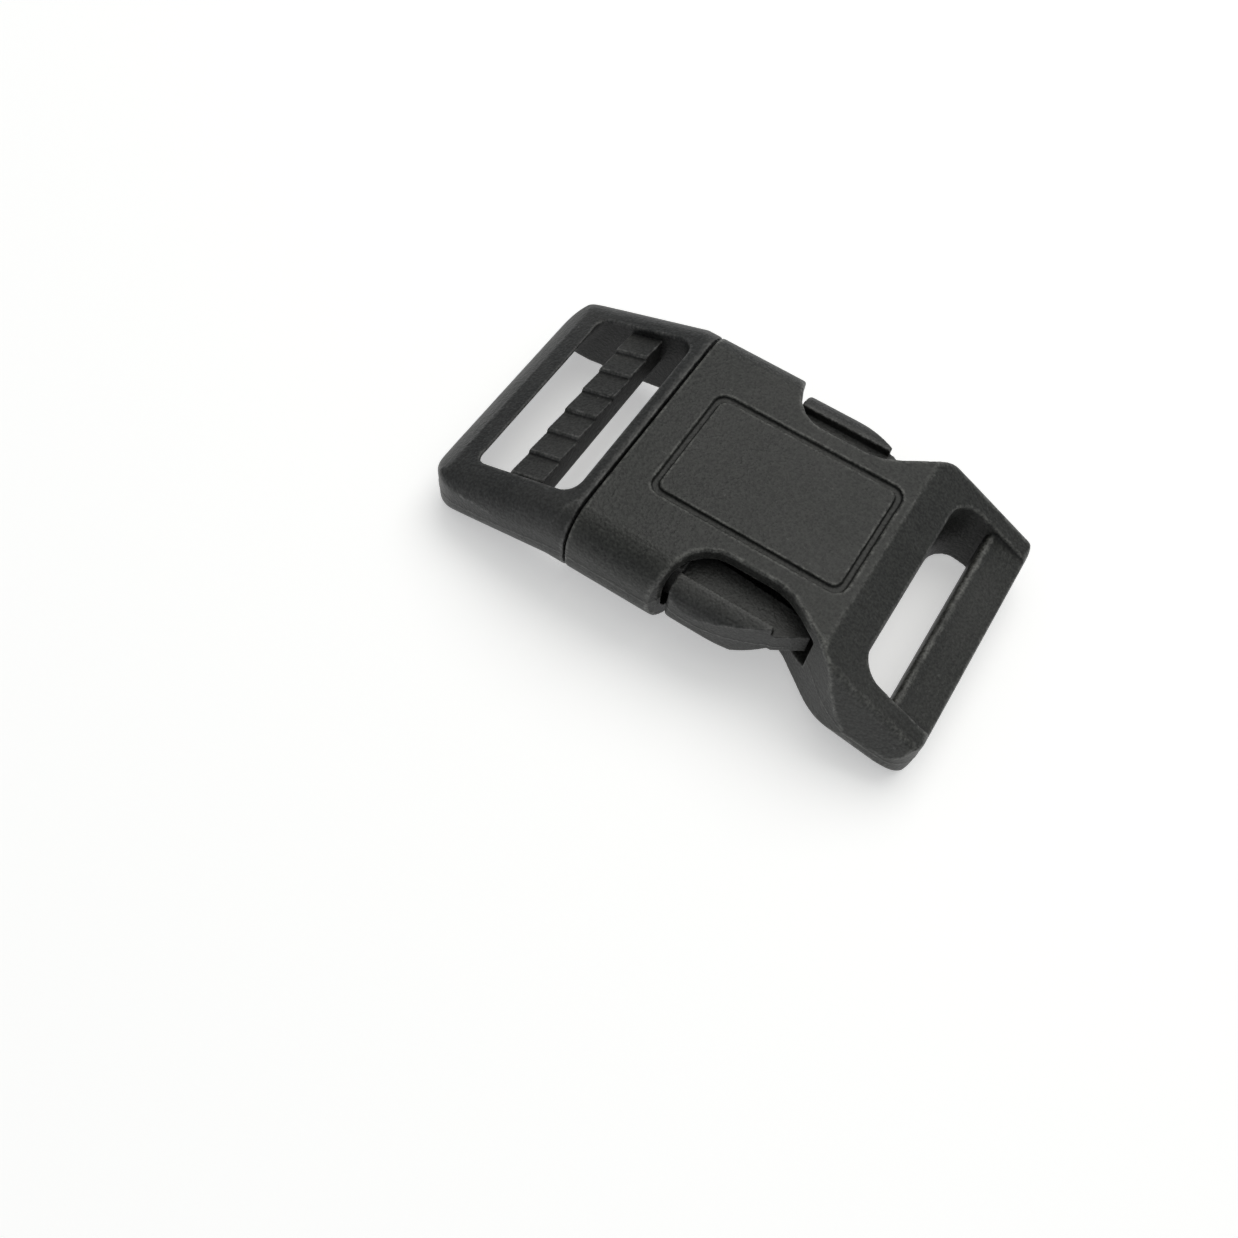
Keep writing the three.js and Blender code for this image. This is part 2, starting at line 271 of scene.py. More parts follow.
def work(obj, other, operation):
    """Joins, cuts or crosses a body with another one, which is used up."""
    take(obj)
    step = obj.modifiers.new("work", "BOOLEAN")
    step.operation = operation
    step.solver = "EXACT"
    step.object = other
    bpy.ops.object.modifier_apply(modifier=step.name)
    bpy.data.objects.remove(other)
    return obj


def cut(obj, *tools):
    for tool in tools:
        work(obj, tool, "DIFFERENCE")
    return obj


def join(obj, *others):
    for other in others:
        work(obj, other, "UNION")
    return obj


def cross(obj, *others):
    for other in others:
        work(obj, other, "INTERSECT")
    return obj


def curve(start, middle, end, steps=6):
    """Points along a soft curve from start to end, pulled towards middle, without the start."""
    points = []
    for i in range(1, steps + 1):
        t = i / steps
        weights = ((1 - t) ** 2, 2 * t * (1 - t), t * t)
        pairs = zip(start, middle, end)
        points.append(tuple(sum(w * p for w, p in zip(weights, trio)) for trio in pairs))
    return points


def mirrored(obj):
    """A copy on the other side of the buckle."""
    take(obj)
    bpy.ops.object.duplicate()
    twin = bpy.context.active_object
    bpy.ops.transform.mirror(constraint_axis=(False, True, False))
    settle(twin)
    tidy_mesh(twin)
    return twin


# ---- turning a body into a moulding ------------------------------------------------------------


def modifier(obj, kind, **settings):
    take(obj)
    step = obj.modifiers.new(kind.lower(), kind)
    for key, value in settings.items():
        setattr(step, key, value)
    bpy.ops.object.modifier_apply(modifier=step.name)


def soften_where(obj, test, rounds):
    """Eases the edges in one region, as a polished corner of the mould does."""
    group = obj.vertex_groups.new(name="ease")
    chosen = [v.index for v in obj.data.vertices if test(v.co)]
    group.add(chosen, 1.0, "REPLACE")
    modifier(obj, "SMOOTH", factor=0.5, iterations=rounds, vertex_group="ease")
    obj.vertex_groups.remove(obj.vertex_groups["ease"])


def vertex_rows(mesh, name):
    """A vector of every vertex, such as its place or its normal, as rows of an array."""
    values = np.empty(len(mesh.vertices) * 3)
    mesh.vertices.foreach_get(name, values)
    return values.reshape(-1, 3)


def mark_edges(obj):
    """Stores how far each point stands on a raised edge, and how far it lies in a hollow."""
    mesh = obj.data
    count = len(mesh.vertices)
    spots = vertex_rows(mesh, "co")
    normals = vertex_rows(mesh, "normal")
    pairs = np.empty(len(mesh.edges) * 2, dtype=np.int64)
    mesh.edges.foreach_get("vertices", pairs)
    first, second = pairs.reshape(-1, 2).T
    links = np.bincount(first, minlength=count) + np.bincount(second, minlength=count)
    links = np.maximum(links, 1)

    def average(values):
        total = np.bincount(first, values[second], count)
        total = total + np.bincount(second, values[first], count)
        return total / links

    middle = np.column_stack([average(spots[:, axis]) for axis in range(3)])
    bend = ((spots - middle) * normals).sum(1) / VOXEL
    for _ in range(3):
        bend = (bend + average(bend)) / 2
    # edge lightens raised edges in the finish, partly as wear and partly as a painted highlight; hollow
    # darkens hollows there as painted shade
    for name, gain, start in (("edge", 38, 0.16), ("hollow", -18, 0)):
        layer = mesh.attributes.new(name, "FLOAT", "POINT")
        layer.data.foreach_set("value", np.clip(gain * bend - start, 0, 1).astype(np.float32))


def parting_height(x):
    """Half way between the top and the underside at each point along the buckle."""
    over = TOP - SOCKET_FALL * np.maximum(x - SOCKET_CREASE, 0)
    over = over - PLUG_FALL * np.maximum(PLUG_CREASE - x, 0)
    under = np.interp(np.abs(x), [ARCH_SHOULDER, ARCH_FOOT], [RISE, 0])
    return (over + under) / 2


def raise_parting_line(obj):
    """Raises the hairline of flash that the two halves of the mould leave round the outside."""
    mesh = obj.data
    spots = vertex_rows(mesh, "co")
    normals = vertex_rows(mesh, "normal")
    away = np.abs(spots[:, 2] - parting_height(spots[:, 0]))
    at_side = np.abs(spots[:, 1]) > SIDE - FLASH_SIDE
    at_end = np.abs(spots[:, 0]) > END - FLASH_END
    outside = at_side | at_end
    level = np.abs(normals[:, 2]) < 0.5
    lift = FLASH * np.clip(1 - away / FLASH_WIDTH, 0, 1) * outside * level
    spots += normals * lift[:, None]
    mesh.vertices.foreach_set("co", spots.ravel())
    mesh.update()


def mould(obj, name, eased=(), voxel=VOXEL, rounds=5):
    """Fuses a body into one skin with softened edges, as it leaves the mould."""
    modifier(obj, "REMESH", mode="VOXEL", voxel_size=voxel, adaptivity=0)
    modifier(obj, "SMOOTH", factor=0.5, iterations=rounds)
    for test, more in eased:
        soften_where(obj, test, more)
    raise_parting_line(obj)
    mark_edges(obj)
    faces = 2 * len(obj.data.polygons)
    if faces > LIMIT:
        modifier(obj, "DECIMATE", ratio=LIMIT / faces)
    obj.scale = (MM, MM, MM)
    settle(obj)
    take(obj)
    bpy.ops.object.shade_smooth()
    clear()
    obj.name = name
    obj.data.name = name
    return obj


# ---- the outside of both mouldings -------------------------------------------------------------


def capped_bar(name, radius, crease=0.0, angle=0.0):
    """A long bar with both top edges rounded, tipped about a crease across its top."""
    reach = 3 * END
    bar = box_at(name, -reach, reach, -SIDE, SIDE, -reach, 0)

    def top_edge(a, b):
        return near(a.z, 0) and near(b.z, 0) and near(a.y, b.y)

    round_edges(bar, top_edge, radius, 12)
    bar.rotation_euler = (0, angle, 0)
    bar.location = (crease, 0, TOP)
    return settle(bar)


def drafted_bar(name, crease, angle):
    """A long bar whose sides lean in above the parting line and end in a small round."""
    shoulder, rim = SIDE - 1.5, SIDE - 2.5
    points = [(SIDE, -3 * END), (SIDE, -4.4), (shoulder, -0.9)]
    points += curve(points[-1], (shoulder - 0.35, 0), (rim, 0))
    points += [(-y, z) for y, z in reversed(points)]
    bar = slab(name, points, "x", -3 * END, 3 * END)
    bar.rotation_euler = (0, angle, 0)
    bar.location = (crease, 0, TOP)
    return settle(bar)


def outer_form(name):
    """Level along the middle, sloping to both ends, and arched underneath."""
    side_view = [
        (-END, 0),
        (-ARCH_FOOT, 0),
        (-ARCH_SHOULDER, RISE),
        (ARCH_SHOULDER, RISE),
        (ARCH_FOOT, 0),
        (END, 0),
        (END, TOP + 1),
        (-END, TOP + 1),
    ]
    body = slab(name, side_view, "y", -SIDE, SIDE)

    def under_edge(a, b):
        return near(abs(a.y), SIDE) and near(a.y, b.y) and max(a.z, b.z) < 4

    round_edges(body, under_edge, BOTTOM_RADIUS, 12)
    level = capped_bar("level", TOP_RADIUS)
    socket_slope = drafted_bar("socket_slope", SOCKET_CREASE, math.atan(SOCKET_FALL))
    plug_slope = capped_bar("plug_slope", PLUG_RADIUS, PLUG_CREASE, -math.atan(PLUG_FALL))
    return cross(body, level, socket_slope, plug_slope, end_profile("ends"), plan_outline("outline"))


def end_profile(name):
    """Rounds both noses in the side view."""
    nose = -28.9
    nose_top = TOP - PLUG_FALL * (PLUG_CREASE - nose)
    lip = END - 1.2
    lip_top = TOP - SOCKET_FALL * (lip - SOCKET_CREASE)
    points = [(-END + 2.8, -0.5), (END - 2.0, -0.5), (END - 2.0, 0)]
    points += curve((END - 2.0, 0), (END, 0), (END, 2.6))
    points += [(END, lip_top - 1.6)]
    points += curve((END, lip_top - 1.6), (END, lip_top - 0.2), (lip, lip_top))
    points += [(lip, TOP + 1), (nose, TOP + 1), (nose, nose_top)]
    points += curve((nose, nose_top), (-END + 0.4, nose_top - 2), (-END, 4.4))
    points += curve((-END, 4.4), (-END, 0), (-END + 2.8, 0))
    return slab(name, points, "y", -SIDE - 1, SIDE + 1)


def window_side():
    """Plan points of one side, from the plug end to the socket end, past the finger window."""
    return [
        (SHOULDER_BACK, SIDE + 0.5),
        (WINDOW_FRONT - 0.7, SIDE + 0.5),
        (WINDOW_FRONT - 0.5, SIDE - 0.2),
        (WINDOW_FRONT, SIDE - 1.0),
        (WINDOW_FRONT + 0.5, 14.4),
        (WINDOW_FRONT + 1.3, 12.4),
        (WINDOW_FRONT + 2.4, 11.2),
        (WINDOW_FRONT + 3.7, 10.5),
        (WINDOW_FRONT + 5.2, WINDOW_DEPTH),
        (10.6, WINDOW_DEPTH),
        (12.4, 10.7),
        (14.4, 11.8),
        (16.9, 13.5),
        (18.9, 15.1),
        (20.6, 16.3),
        (22.2, 17.0),
        (24.0, SIDE + 0.0),
        (25.0, SIDE - 0.1),
    ]


def plan_outline(name):
    side = window_side()
    right = [(END, END_SIDE)]
    left = [(-END, END_SIDE)]
    points = left + side + right
    points += [(x, -y) for x, y in reversed(points)]
    body = slab(name, points, "z", -1, TOP + 1)
    round_uprights(body, [(END, END_SIDE), (END, -END_SIDE)], 3.0, 8)
    round_uprights(body, [(-END, END_SIDE), (-END, -END_SIDE)], 5.0, 10)
    return body


# ---- socket ------------------------------------------------------------------------------------


def panel_ring():
    """The groove that frames the flat panel on the top face."""
    x0 = PANEL_CENTRE - PANEL_HALF_LENGTH
    x1 = PANEL_CENTRE + PANEL_HALF_LENGTH
    half = PANEL_HALF_WIDTH
    groove = PANEL_GROOVE
    ring = box_at("ring", x0, x1, -half, half, TOP - PANEL_DEPTH, TOP + 2)
    core_half = half - groove
    core = box_at("core", x0 + groove, x1 - groove, -core_half, core_half, TOP - 1, TOP + 3)
    corners = [(x, y) for x in (x0, x1) for y in (-half, half)]
    inner = [(x, y) for x in (x0 + groove, x1 - groove) for y in (-core_half, core_half)]
    round_uprights(ring, corners, 1.5)
    round_uprights(core, inner, 1.0)
    return cut(ring, core)


def above_strap_bar():
    """Empties the space over the strap bar, whose inner edge is a raised bead."""
    inner, lip = BAR_SINK

    def top(x):
        sink = inner + (lip - inner) * (x - SLOT_BACK) / (END - SLOT_BACK)
        return TOP - sink - SOCKET_FALL * (x - SOCKET_CREASE)

    bead = 1.5
    points = [
        (SLOT_BACK - 1.5, TOP + 2),
        (SLOT_BACK - 1.5, top(SLOT_BACK) - 1.6),
        (SLOT_BACK, top(SLOT_BACK) - 1.6),
    ]
    crown = SLOT_BACK + 0.9
    foot = SLOT_BACK + bead
    flat = SLOT_BACK + 2.0
    points += curve(points[-1], (SLOT_BACK, top(SLOT_BACK) + 0.25), (crown, top(crown) + 0.2))
    points += curve(points[-1], (foot, top(foot)), (flat, top(flat)), 4)
    points += [(END + 2, top(END + 2)), (END + 2, TOP + 2)]
    return slab("above_bar", points, "y", -STRAP, STRAP)


def socket_cavity():
    low, high = RISE + WALL, TOP - WALL
    side = SIDE - WALL
    body = box_at("cavity", MOUTH - 3, CAVITY_BACK, -side, side, low, high)

    def lengthwise(a, b):
        return near(a.y, b.y) and near(a.z, b.z) and abs(a.y) > side - 1

    round_edges(body, lengthwise, 2.4, 6)
    ramp = [
        (CAVITY_BACK - 4.5, low - 1),
        (CAVITY_BACK + 1, low - 1),
        (CAVITY_BACK + 1, low + 1.7),
        (CAVITY_BACK, low + 1.7),
        (CAVITY_BACK - 4.5, low),
    ]
    return cut(body, slab("ramp", ramp, "y", -side - 1, side + 1))


def strap_slot():
    body = box_at("strap_slot", SLOT_FRONT, SLOT_BACK, -STRAP, STRAP, -2, TOP + 2)
    return round_uprights(body, [(SLOT_FRONT, -STRAP), (SLOT_FRONT, STRAP)], 3.1, 8)


def make_socket():
    body = outer_form("socket")
    cut(body, box_at("plug_side", -END - 5, MOUTH, -SIDE - 5, SIDE + 5, -5, TOP + 5))
    cut(body, socket_cavity(), strap_slot(), above_strap_bar(), panel_ring())
    rib = box_at("rib", RIB[0], RIB[1], RIB[2], RIB[3], RIB[4] - 0.6, RIB[5] + 0.6)
    join(body, mirrored(rib), rib)

    def crease(co):
        return abs(co.x - SOCKET_CREASE) < 1.2 and co.z > TOP - 2.5

    def rims(co):
        return abs(co.y) > 8.8 and WINDOW_FRONT - 1.8 < co.x < 22 and co.z > TOP - 3.4

    def valley(co):
        return co.x > SLOT_BACK - 0.6 and abs(abs(co.y) - STRAP) < 1.1 and co.z > 4

    return mould(body, "socket_moulding", [(crease, 10), (rims, 26), (valley, 14)])


# ---- plug --------------------------------------------------------------------------------------


def frame_opening():
    points = [
        (SHOULDER_BACK, -2),
        (-END - 1, -2),
        (-END - 1, END_BAR_UNDER),
        (END_BAR_FOOT, END_BAR_UNDER),
        (END_BAR_INNER, END_BAR_TOP),
        (END_BAR_INNER, TOP + 2),
        (SHOULDER_BACK, TOP + 2),
    ]
    body = slab("opening", points, "y", -FRAME_INNER, FRAME_INNER)

    def front(a, b):
        return near(a.x, SHOULDER_BACK) and near(b.x, SHOULDER_BACK) and abs(a.z - b.z) > 1

    def back(a, b):
        above = min(a.z, b.z) > END_BAR_UNDER - 0.1
        behind = max(a.x, b.x) < END_BAR_INNER + 0.1
        return near(a.y, b.y) and above and behind

    round_edges(body, front, 1.9)
    return round_edges(body, back, 1.2)


def make_plug():
    body = outer_form("plug")
    cut(body, box_at("socket_side", SHOULDER_FRONT, END + 5, -SIDE - 5, SIDE + 5, -5, TOP + 5))
    cut(body, frame_opening())
    tip = TONGUE[1]
    half = TONGUE[3]
    tongue = [
        (SHOULDER_FRONT - 0.5, -half),
        (tip - 3, -half),
        (tip, -half + 1.2),
        (tip, half - 1.2),
        (tip - 3, half),
        (SHOULDER_FRONT - 0.5, half),
    ]
    join(body, slab("tongue", tongue, "z", TONGUE[4], TONGUE[5]))

    def crease(co):
        return abs(co.x - PLUG_CREASE) < 1.2 and co.z > TOP - 2.5

    def frame_edges(co):
        return co.x < SHOULDER_BACK + 0.4 and abs(co.y) < FRAME_INNER + 1.0

    def corners(co):
        return co.x < -END + 6 and abs(co.y) > 11

    return mould(body, "plug_moulding", [(crease, 10), (frame_edges, 6), (corners, 60)])


def make_adjuster():
    """Seven steps across the bar, each a ramp that ends in a small drop."""
    x0, x1, y0, y1, z0, z1 = ADJUSTER
    width = x1 - x0
    fall = PLUG_FALL * width
    pitch = (y1 - y0) / TEETH
    y_low = y0 - BAR_OVERRUN
    y_high = y1 + BAR_OVERRUN
    points = [(y_low, z0 + fall), (y_high, z0 + fall), (y_high, z1 - TOOTH_DROP)]
    for i in range(TEETH, 0, -1):
        y = y0 + i * pitch
        points.append((y, z1 - TOOTH_DROP * 0.9))
        points.append((y - pitch + 0.42, z1))
        points.append((y - pitch + 0.16, z1 - 0.2))
        points.append((y - pitch + 0.1, z1 - TOOTH_DROP))
    points.append((y_low, z1 - TOOTH_DROP))
    bar = slab("adjuster", points, "x", x0, x1)
    edit(bar)
    pick(bar, lambda co: near(co.x, x0))
    bpy.ops.transform.translate(value=(0, 0, -fall))
    clear()
    settle(bar)

    def long_edges(a, b):
        return near(a.x, b.x) and near(a.y, -b.y) and abs(a.y) > 10

    round_edges(bar, long_edges, 0.9)
    return mould(bar, "adjuster_bar", voxel=BAR_VOXEL, rounds=2)


# ---- sprung arms -------------------------------------------------------------------------------


def finger_grip():
    """The crescent pad that a finger presses, rounded like the shell beside it."""
    x0, x1, inner, outer, low, high = GRIP
    points = [(x0, inner), (x1, inner), (x1, inner + 0.6)]
    points += curve(points[-1], (x0 + 6.0, outer + 0.9), (x0 + 0.9, outer + 0.1), 10)
    points += curve(points[-1], (x0, outer), (x0, outer - 1.0), 4)
    body = slab("grip", points, "z", low, high)
    rim, proud = 2.3, outer + 0.4
    section = [(inner - 1, low), (outer - rim, low)]
    section += curve(section[-1], (proud, low + 0.8), (proud, MID), 8)
    section += curve(section[-1], (proud, high - 0.4), (outer - rim, high), 8)
    section += [(inner - 1, high)]
    heel = x0 + 2.5
    under = [(x0 - 1, low - 0.1), (heel, low - 0.1)]
    under += curve(under[-1], (x1 - 3.0, low), (x1 + 0.1, TIP[4]), 10)
    under += [(x1 + 0.1, high + 1), (x0 - 1, high + 1)]
    side_view = slab("under", under, "y", inner - 1, outer + 2)
    return cross(body, slab("section", section, "x", x0 - 1, x1 + 1), side_view)


def make_arm():
    """Leaf spring, web, finger grip and tip, which are one moulding."""
    leaf = box_at("arm", ROOT[0], WEB[0] + 0.2, LEAF[2], LEAF[3], LEAF[4], LEAF[5])
    x0, x1, inner, _, _, high = WEB
    plate = [
        (x0, inner + 0.8),
        (x0 + 0.8, inner),
        (x1 + 1, inner + 0.9),
        (x1 + 1, GRIP[2] + 0.4),
        (x0, GRIP[2] + 0.4),
    ]
    web = slab("web", plate, "z", TIP[4], high)
    _, x1, inner, outer, low, high = TIP
    x0 = GRIP[1] - 1.5
    point = [
        (x0, inner),
        (x1 - 1.6, inner),
        (x1, inner + 1.6),
        (x1, outer - 2.0),
        (GRIP[1] + 0.6, outer),
        (GRIP[1], outer + 0.1),
        (x0, GRIP[2]),
    ]
    return join(leaf, web, slab("tip", point, "z", low, high), finger_grip())


def finish_arm(body, name):
    def front(co):
        return co.x < GRIP[0] + 1.8 and abs(co.y) > GRIP[2] + 0.8

    return mould(body, name, [(front, 30)], voxel=FINE_VOXEL, rounds=7)


# ---- finishes ----------------------------------------------------------------------------------


def socket_in(group, name, kind, value=None):
    made = group.interface.new_socket(name=name, in_out="INPUT", socket_type=kind)
    if value is not None:
        made.default_value = value


def moulded_group():
    """Colour, roughness and relief of a spark-eroded black moulding, with raised edges lightened partly as
    wear and partly as a painted highlight, and painted shade in its hollows.
    """
    group = bpy.data.node_groups.new("moulded black plastic", "ShaderNodeTree")
    socket_in(group, "Colour", "NodeSocketColor", (0.02, 0.02, 0.02, 1))
    socket_in(group, "Wear and highlight colour", "NodeSocketColor", (0.06, 0.06, 0.06, 1))
    socket_in(group, "Roughness", "NodeSocketFloat", 0.5)
    socket_in(group, "Grain", "NodeSocketFloat", 1.0)
    socket_in(group, "Wear and highlight", "NodeSocketFloat", 0.5)
    socket_in(group, "Dust", "NodeSocketFloat", 0.2)
    for name, kind in (("Colour", "Color"), ("Roughness", "Float"), ("Normal", "Vector")):
        group.interface.new_socket(name=name, in_out="OUTPUT", socket_type=f"NodeSocket{kind}")
    nodes, links = group.nodes, group.links
    given = nodes.new("NodeGroupInput")
    result = nodes.new("NodeGroupOutput")
    place = nodes.new("ShaderNodeTexCoord")

    def node(kind, **settings):
        made = nodes.new(kind)
        for key, value in settings.items():
            setattr(made, key, value)
        return made

    def noise(scale, detail, rough=0.5):
        made = node("ShaderNodeTexNoise")
        made.inputs["Scale"].default_value = scale
        made.inputs["Detail"].default_value = detail
        made.inputs["Roughness"].default_value = rough
        links.new(place.outputs["Object"], made.inputs["Vector"])
        return made.outputs["Fac"]

    def math_node(operation, first, second, clamp=False):
        made = node("ShaderNodeMath", operation=operation, use_clamp=clamp)
        for socket, value in zip(made.inputs, (first, second)):
            if hasattr(value, "is_output"):
                links.new(value, socket)
            else:
                socket.default_value = value
        return made.outputs[0]

    def ramp(value, low, high):
        made = node("ShaderNodeMapRange")
        links.new(value, made.inputs["Value"])
        made.inputs["From Min"].default_value = low
        made.inputs["From Max"].default_value = high
        return made.outputs["Result"]

    def mix(share, first, second):
        made = node("ShaderNodeMix", data_type="RGBA")
        links.new(share, made.inputs["Factor"])
        for key, value in (("A", first), ("B", second)):
            target = [s for s in made.inputs if s.name == key and s.type == "RGBA"][0]
            if hasattr(value, "is_output"):
                links.new(value, target)
            else:
                target.default_value = value
        return [s for s in made.outputs if s.type == "RGBA"][0]

    fine = noise(3300, 2)
    pits = noise(1700, 1)
    broad = noise(190, 4, 0.6)
    patch = noise(60, 2)
    edge = node("ShaderNodeAttribute", attribute_name="edge").outputs["Fac"]
    hollow = node("ShaderNodeAttribute", attribute_name="hollow").outputs["Fac"]

    # Raised edges are lightened towards the worn colour: partly real wear, partly a painted highlight on
    # rims, creases and groove edges.
    wear_and_highlight_share = math_node("MULTIPLY", ramp(noise(900, 3), 0.3, 0.6), given.outputs["Wear and highlight"])
    worn_and_highlit = math_node("MULTIPLY", edge, wear_and_highlight_share)
    tone = mix(worn_and_highlit, given.outputs["Colour"], given.outputs["Wear and highlight colour"])
    mottle = node("ShaderNodeHueSaturation")
    links.new(tone, mottle.inputs["Color"])
    cloudy = math_node("MULTIPLY", ramp(broad, 0.3, 0.7), 0.3)
    shade = math_node("ADD", cloudy, ramp(fine, 0.36, 0.64))
    links.new(math_node("ADD", math_node("MULTIPLY", shade, 1.1), 0.3), mottle.inputs["Value"])
    dusty = math_node("MULTIPLY", ramp(patch, 0.42, 0.7), given.outputs["Dust"])
    dusted = mix(dusty, mottle.outputs["Color"], (0.16, 0.155, 0.15, 1))
    speck = math_node("GREATER_THAN", noise(1500, 0), 0.845)
    speck = math_node("MULTIPLY", speck, given.outputs["Dust"])
    specked = mix(speck, dusted, (0.3, 0.3, 0.29, 1))
    # Painted shade: hollows, grooves and creases are darkened towards near black, where shade falls.
    hollow_painted_shade = mix(math_node("MULTIPLY", hollow, 0.55), specked, (0.004, 0.004, 0.004, 1))
    links.new(hollow_painted_shade, result.inputs["Colour"])

    uneven = math_node("MULTIPLY", ramp(broad, 0.3, 0.7), 0.07)
    rough = math_node("ADD", given.outputs["Roughness"], uneven)
    rough = math_node("SUBTRACT", rough, math_node("MULTIPLY", worn_and_highlit, 0.12))
    rough = math_node("ADD", rough, math_node("MULTIPLY", dusty, 0.4), clamp=True)
    links.new(rough, result.inputs["Roughness"])

    height = math_node("ADD", math_node("MULTIPLY", fine, 0.6), math_node("MULTIPLY", pits, 0.55))
    height = math_node("MULTIPLY", height, given.outputs["Grain"])
    bump = node("ShaderNodeBump")
    bump.inputs["Strength"].default_value = 0.8
    bump.inputs["Distance"].default_value = 0.00017
    links.new(height, bump.inputs["Height"])
    links.new(bump.outputs["Normal"], result.inputs["Normal"])
    return group


MOULDED = moulded_group()


def plastic(name, colour, worn_and_highlight_colour, roughness, grain, wear_and_highlight_strength, dust):
    made = bpy.data.materials.new(name)
    made.use_nodes = True
    nodes, links = made.node_tree.nodes, made.node_tree.links
    shader = nodes["Principled BSDF"]
    shader.inputs["Specular IOR Level"].default_value = 0.42
    look = nodes.new("ShaderNodeGroup")
    look.node_tree = MOULDED
    settings = {
        "Colour": (*colour, 1),
        "Wear and highlight colour": (*worn_and_highlight_colour, 1),
        "Roughness": roughness,
        "Grain": grain,
        "Wear and highlight": wear_and_highlight_strength,
        "Dust": dust,
    }
    for key, value in settings.items():
        look.inputs[key].default_value = value
    wires = (("Colour", "Base Color"), ("Roughness", "Roughness"), ("Normal", "Normal"))
    for given, taken in wires:
        links.new(look.outputs[given], shader.inputs[taken])
    return made


def dress(obj, material):
    obj.data.materials.clear()
    obj.data.materials.append(material)


# name, colour, colour of lightened edges (wear and painted highlight), roughness, grain, strength of that
# edge lightening (wear and painted highlight), dust
SOCKET_BLACK = plastic("socket black", (0.0185, 0.0196, 0.0176), (0.085, 0.086, 0.08), 0.46, 1.0, 0.9, 0.1)
PLUG_BLACK = plastic("plug black", (0.0155, 0.0163, 0.0158), (0.07, 0.07, 0.068), 0.44, 0.9, 0.7, 0.1)
BAR_BLACK = plastic("adjuster black", (0.022, 0.0225, 0.0215), (0.08, 0.08, 0.078), 0.56, 0.7, 0.9, 0.3)
ARM_BLACK = plastic("arm black", (0.0185, 0.0194, 0.0186), (0.075, 0.075, 0.073), 0.44, 0.9, 0.8, 0.12)


# ---- making the pieces -------------------------------------------------------------------------

socket = make_socket()
dress(socket, SOCKET_BLACK)
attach(socket, "socket")
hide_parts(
    "socket_top_wall",
    "socket_bottom_wall",
    "socket_bridge",
    "socket_strap_bar",
    "socket_left_side_wall",
    "socket_left_rail",
    "socket_left_guide_rib",
    "socket_right_side_wall",
    "socket_right_rail",
    "socket_right_guide_rib",
)

plug = make_plug()
dress(plug, PLUG_BLACK)
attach(plug, "plug")
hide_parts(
    "plug_shoulder",
    "plug_end_bar",
    "plug_guide_tongue",
    "plug_left_rail",
    "plug_right_rail",
)

adjuster = make_adjuster()
dress(adjuster, BAR_BLACK)
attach(adjuster, "plug")
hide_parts("plug_adjuster_bar")

left_body = make_arm()
right_body = mirrored(left_body)
for side, body in (("left", left_body), ("right", right_body)):
    arm = finish_arm(body, f"{side}_sprung_arm")
    dress(arm, ARM_BLACK)
    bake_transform(arm)
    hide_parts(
        f"plug_{side}_arm_root",
        f"{side}_arm_leaf",
        f"{side}_arm_web",
        f"{side}_arm_grip",
        f"{side}_arm_tip",
    )


# ---- floor, light and camera -------------------------------------------------------------------

CAMERA_EYE = (23.06, -73.55, 116.47)
CAMERA_AIM = (-2.69, -19.63, 6.0)
CAMERA_ROLL = 8.13  # degrees
CAMERA_LENS = 33.44

def make_floor():
    clear()
    bpy.ops.mesh.primitive_plane_add(size=6, location=(0, 0, 0))
    floor = bpy.context.active_object
    floor.name = "floor"
    settle(floor)
    paper = bpy.data.materials.new("pale table")
    paper.use_nodes = True
    shader = paper.node_tree.nodes["Principled BSDF"]
    shader.inputs["Base Color"].default_value = (0.88, 0.88, 0.885, 1)
    shader.inputs["Roughness"].default_value = 0.6
    shader.inputs["Emission Color"].default_value = (1, 1, 1, 1)
    shader.inputs["Emission Strength"].default_value = 0.4
    dress(floor, paper)


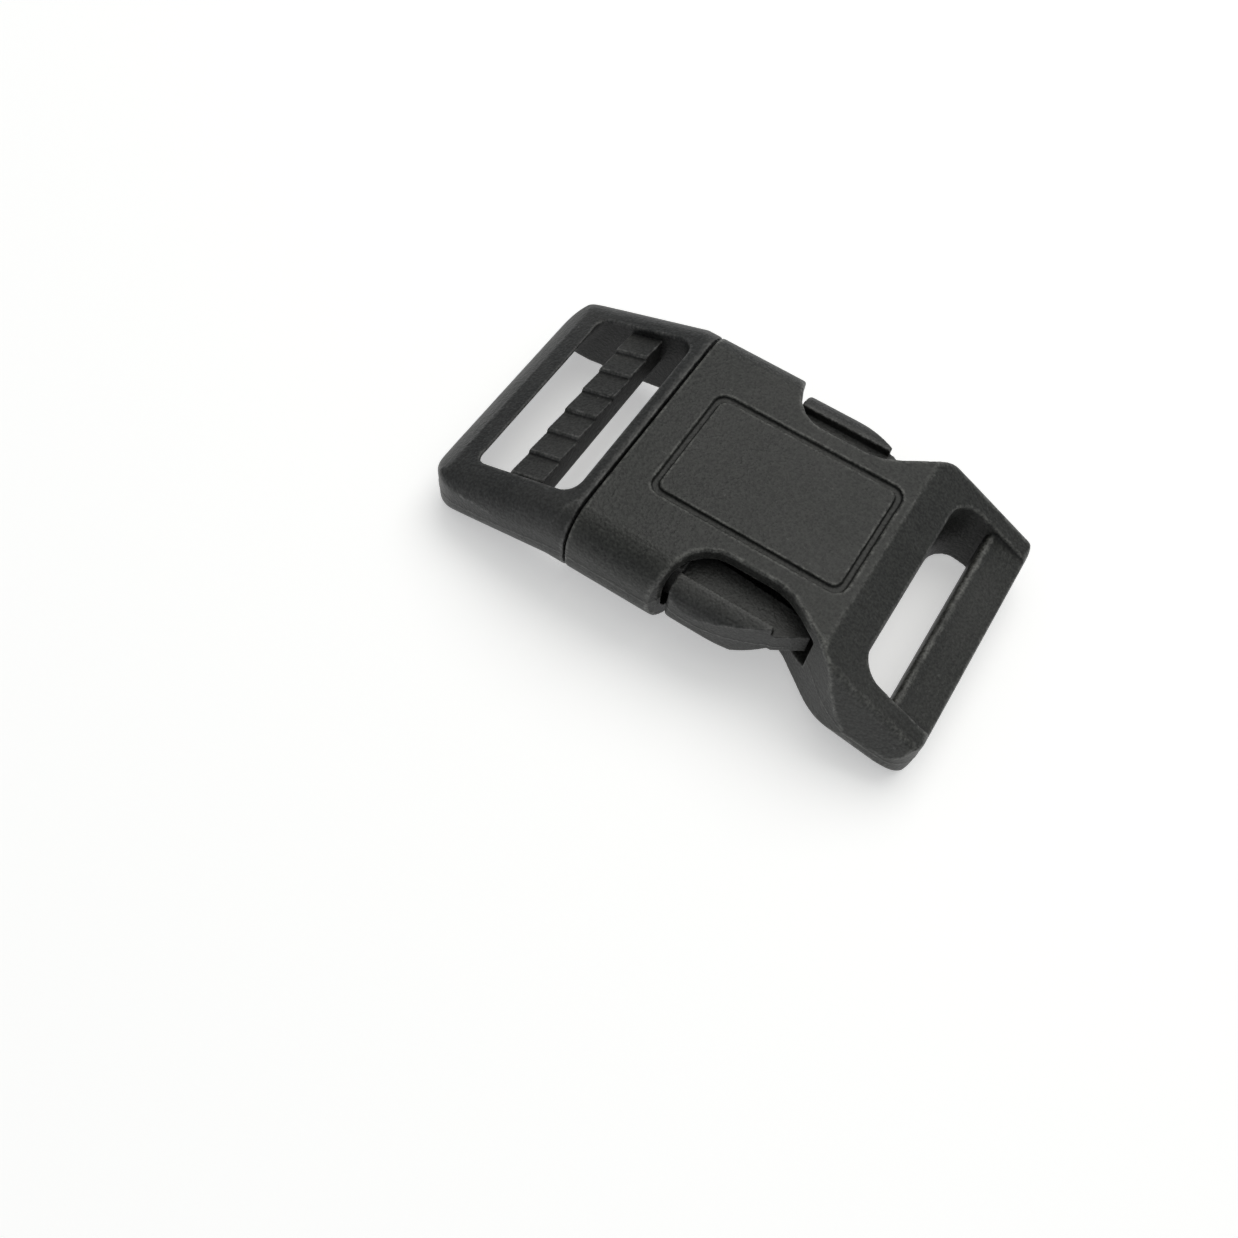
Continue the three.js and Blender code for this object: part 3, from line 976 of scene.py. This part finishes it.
def area_light(name, place, aim, size, power, colour=(1, 1, 1)):
    light = bpy.data.lights.new(name, "AREA")
    light.shape = "DISK"
    light.size = size
    light.energy = power
    light.color = colour
    lamp = bpy.data.objects.new(name, light)
    bpy.context.scene.collection.objects.link(lamp)
    lamp.location = place
    lamp.rotation_euler = (Vector(aim) - Vector(place)).to_track_quat("-Z", "Y").to_euler()


def make_light():
    """A bright ceiling, darker walls, a pale table's edge, and one soft window behind the buckle."""
    world = bpy.data.worlds.new("room")
    bpy.context.scene.world = world
    world.use_nodes = True
    nodes, links = world.node_tree.nodes, world.node_tree.links
    sky = nodes["Background"]
    sky.inputs["Strength"].default_value = 1.0
    place = nodes.new("ShaderNodeTexCoord")
    parts = nodes.new("ShaderNodeSeparateXYZ")
    tone = nodes.new("ShaderNodeValToRGB")
    stops = tone.color_ramp.elements
    stops[0].color = (1.0, 1.0, 1.02, 1)
    stops[1].position = 0.96
    stops[1].color = (0.72, 0.725, 0.69, 1)
    for height, colour in ((0.24, (0.16, 0.17, 0.19, 1)), (0.55, (0.1, 0.11, 0.125, 1))):
        stops.new(height).color = colour
    links.new(place.outputs["Generated"], parts.inputs[0])
    links.new(parts.outputs["Z"], tone.inputs["Fac"])
    links.new(tone.outputs["Color"], sky.inputs["Color"])
    area_light("window", (0.0, 0.48, 0.82), (0, 0, 0), 0.9, 3.8, (1.0, 0.99, 0.96))
    bpy.context.scene.view_settings.view_transform = "Standard"


def make_camera():
    """Looks down the buckle from its right side, turned a little about its own line of sight."""
    eye = Vector(CAMERA_EYE) * MM
    aim = Vector(CAMERA_AIM) * MM
    roll = math.radians(CAMERA_ROLL)
    data = bpy.data.cameras.new("camera")
    data.sensor_width = 36
    data.lens = CAMERA_LENS
    data.clip_start = 0.005
    camera = bpy.data.objects.new("camera", data)
    bpy.context.scene.collection.objects.link(camera)
    turn = (aim - eye).to_track_quat("-Z", "Y").to_matrix().to_4x4()
    camera.matrix_world = Matrix.Translation(eye) @ turn @ Matrix.Rotation(roll, 4, "Z")
    bpy.context.scene.camera = camera


make_floor()
make_light()
make_camera()
